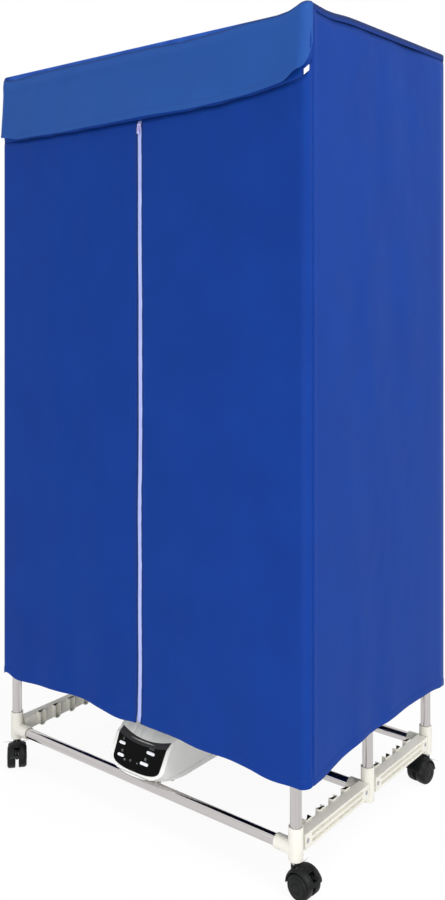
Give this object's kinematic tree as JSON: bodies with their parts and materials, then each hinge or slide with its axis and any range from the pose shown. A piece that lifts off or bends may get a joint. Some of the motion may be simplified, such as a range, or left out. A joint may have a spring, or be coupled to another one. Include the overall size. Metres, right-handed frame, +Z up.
{
  "type": "electric clothes drying rack",
  "caption": "Upright tube rack on castors with side bars, hanging rods, a warm air heater on its base tubes and a hanging cloth cover with a zipped front and a flap.",
  "frame": {"origin": "on the floor, in the middle of the four posts", "axes": "+Z up, +X to the right along the front, -Y out of the zipped front"},
  "size_m": [0.7565, 0.5297, 1.3735],
  "materials": {
    "cream_plastic": "satin",
    "chromed_tube": "polished",
    "bright_steel": "satin",
    "black_plastic": "satin",
    "white_plastic": "satin",
    "motor_steel": "plain",
    "grey_plastic": "plain",
    "element_aluminium": "plain",
    "panel_gloss": "gloss",
    "board": "plain",
    "button_plastic": "satin",
    "gland_plastic": "plain",
    "blue_cloth": "woven",
    "zip_plastic": "plain",
    "zip_metal": "satin"
  },
  "bodies": {
    "rack": {"base_connector_front_left": "cream_plastic", "base_connector_front_right": "cream_plastic", "base_connector_rear_left": "cream_plastic", "base_connector_rear_right": "cream_plastic", "base_mid_connectors": "cream_plastic", "base_tubes": "chromed_tube", "base_side_bars": "cream_plastic", "lower_posts": "chromed_tube", "middle_connectors": "cream_plastic", "middle_side_bars": "cream_plastic", "upper_posts": "chromed_tube", "top_connectors": "cream_plastic", "top_side_bars": "cream_plastic", "top_tubes": "chromed_tube", "hanging_rods": "chromed_tube", "bar_screws": "bright_steel", "castor_stems": "bright_steel", "heater_lower_shell": "white_plastic", "heater_upper_shell": "white_plastic", "outlet_grille": "white_plastic", "fan_motor": "motor_steel", "heating_element": "element_aluminium", "control_panel": "panel_gloss", "circuit_board": "board", "cable_gland": "gland_plastic", "heater_screws": "bright_steel", "cover_back": "blue_cloth", "cover_side_left": "blue_cloth", "cover_side_right": "blue_cloth", "cover_roof": "blue_cloth"},
    "castor_front_left": {"castor_hood_front_left": "black_plastic", "castor_axle_front_left": "bright_steel"},
    "wheel_front_left_1": {"wheel_front_left_1": "black_plastic"},
    "wheel_front_left_2": {"wheel_front_left_2": "black_plastic"},
    "brake_lever_front_left": {"brake_lever_front_left": "black_plastic"},
    "castor_front_right": {"castor_hood_front_right": "black_plastic", "castor_axle_front_right": "bright_steel"},
    "wheel_front_right_1": {"wheel_front_right_1": "black_plastic"},
    "wheel_front_right_2": {"wheel_front_right_2": "black_plastic"},
    "brake_lever_front_right": {"brake_lever_front_right": "black_plastic"},
    "castor_rear_left": {"castor_hood_rear_left": "black_plastic", "castor_axle_rear_left": "bright_steel"},
    "wheel_rear_left_1": {"wheel_rear_left_1": "black_plastic"},
    "wheel_rear_left_2": {"wheel_rear_left_2": "black_plastic"},
    "castor_rear_right": {"castor_hood_rear_right": "black_plastic", "castor_axle_rear_right": "bright_steel"},
    "wheel_rear_right_1": {"wheel_rear_right_1": "black_plastic"},
    "wheel_rear_right_2": {"wheel_rear_right_2": "black_plastic"},
    "button_power": {"button_power": "button_plastic"},
    "button_timer": {"button_timer": "button_plastic"},
    "button_heat": {"button_heat": "button_plastic"},
    "button_mode": {"button_mode": "button_plastic"},
    "fan_wheel": {"fan_wheel": "grey_plastic"},
    "door_left": {"door_left": "blue_cloth", "zip_half_left": "zip_plastic"},
    "door_right": {"door_right": "blue_cloth", "zip_half_right": "zip_plastic"},
    "front_flap": {"front_flap": "blue_cloth"},
    "zip_slider": {"zip_slider": "zip_metal"},
    "zip_pull": {"zip_pull": "zip_metal"}
  },
  "joints": [
    {"name": "castor_swivel_front_left", "type": "hinge", "parent": "rack", "child": "castor_front_left", "pos_m": [-0.335, -0.225, 0.05], "axis": [0, 0, 1], "continuous": true},
    {"name": "wheel_spin_front_left_1", "type": "hinge", "parent": "castor_front_left", "child": "wheel_front_left_1", "pos_m": [-0.32274, -0.23528, 0.02075], "axis": [0.6428, 0.766, 0], "continuous": true},
    {"name": "wheel_spin_front_left_2", "type": "hinge", "parent": "castor_front_left", "child": "wheel_front_left_2", "pos_m": [-0.32274, -0.23528, 0.02075], "axis": [0.6428, 0.766, 0], "continuous": true},
    {"name": "brake_front_left", "type": "hinge", "parent": "castor_front_left", "child": "brake_lever_front_left", "pos_m": [-0.30917, -0.24667, 0.03727], "axis": [0.6428, 0.766, 0], "range_deg": [0, 30]},
    {"name": "castor_swivel_front_right", "type": "hinge", "parent": "rack", "child": "castor_front_right", "pos_m": [0.335, -0.225, 0.05], "axis": [0, 0, 1], "continuous": true},
    {"name": "wheel_spin_front_right_1", "type": "hinge", "parent": "castor_front_right", "child": "wheel_front_right_1", "pos_m": [0.35094, -0.22639, 0.02075], "axis": [0.0872, 0.9962, 0], "continuous": true},
    {"name": "wheel_spin_front_right_2", "type": "hinge", "parent": "castor_front_right", "child": "wheel_front_right_2", "pos_m": [0.35094, -0.22639, 0.02075], "axis": [0.0872, 0.9962, 0], "continuous": true},
    {"name": "brake_front_right", "type": "hinge", "parent": "castor_front_right", "child": "brake_lever_front_right", "pos_m": [0.36859, -0.22794, 0.03727], "axis": [0.0872, 0.9962, 0], "range_deg": [0, 30]},
    {"name": "castor_swivel_rear_left", "type": "hinge", "parent": "rack", "child": "castor_rear_left", "pos_m": [-0.335, 0.225, 0.05], "axis": [0, 0, 1], "continuous": true},
    {"name": "wheel_spin_rear_left_1", "type": "hinge", "parent": "castor_rear_left", "child": "wheel_rear_left_1", "pos_m": [-0.34463, 0.23778, 0.02075], "axis": [-0.7986, -0.6018, 0], "continuous": true},
    {"name": "wheel_spin_rear_left_2", "type": "hinge", "parent": "castor_rear_left", "child": "wheel_rear_left_2", "pos_m": [-0.34463, 0.23778, 0.02075], "axis": [-0.7986, -0.6018, 0], "continuous": true},
    {"name": "castor_swivel_rear_right", "type": "hinge", "parent": "rack", "child": "castor_rear_right", "pos_m": [0.335, 0.225, 0.05], "axis": [0, 0, 1], "continuous": true},
    {"name": "wheel_spin_rear_right_1", "type": "hinge", "parent": "castor_rear_right", "child": "wheel_rear_right_1", "pos_m": [0.3325, 0.2092, 0.02075], "axis": [0.9877, -0.1564, 0], "continuous": true},
    {"name": "wheel_spin_rear_right_2", "type": "hinge", "parent": "castor_rear_right", "child": "wheel_rear_right_2", "pos_m": [0.3325, 0.2092, 0.02075], "axis": [0.9877, -0.1564, 0], "continuous": true},
    {"name": "button_press_power", "type": "slide", "parent": "rack", "child": "button_power", "axis": [0, 0.891, -0.454], "range_m": [0, 0.0008], "stiffness_N_per_m": 600, "springref_m": -0.001},
    {"name": "button_press_timer", "type": "slide", "parent": "rack", "child": "button_timer", "axis": [0, 0.891, -0.454], "range_m": [0, 0.0008], "stiffness_N_per_m": 600, "springref_m": -0.001},
    {"name": "button_press_heat", "type": "slide", "parent": "rack", "child": "button_heat", "axis": [0, 0.891, -0.454], "range_m": [0, 0.0008], "stiffness_N_per_m": 600, "springref_m": -0.001},
    {"name": "button_press_mode", "type": "slide", "parent": "rack", "child": "button_mode", "axis": [0, 0.891, -0.454], "range_m": [0, 0.0008], "stiffness_N_per_m": 600, "springref_m": -0.001},
    {"name": "fan_spin", "type": "hinge", "parent": "rack", "child": "fan_wheel", "pos_m": [0, -0.085, 0.12], "axis": [0, 0, 1], "continuous": true},
    {"name": "door_right_open", "type": "hinge", "parent": "rack", "child": "door_right", "pos_m": [0.351, -0.2393, 0.7], "axis": [0, 0, 1], "range_deg": [0, 105]},
    {"name": "door_left_open", "type": "hinge", "parent": "rack", "child": "door_left", "pos_m": [-0.351, -0.2393, 0.7], "axis": [0, 0, -1], "range_deg": [0, 105]},
    {"name": "flap_lift", "type": "hinge", "parent": "rack", "child": "front_flap", "pos_m": [0, -0.241, 1.3735], "axis": [-1, 0, 0], "range_deg": [0, 235]},
    {"name": "zip_slide", "type": "slide", "parent": "door_left", "child": "zip_slider", "axis": [0, 0, -1], "range_m": [0, 1.03]},
    {"name": "zip_pull_swing", "type": "hinge", "parent": "zip_slider", "child": "zip_pull", "pos_m": [0.01, -0.2387, 1.2305], "axis": [-1, 0, 0], "range_deg": [0, 160]}
  ]
}
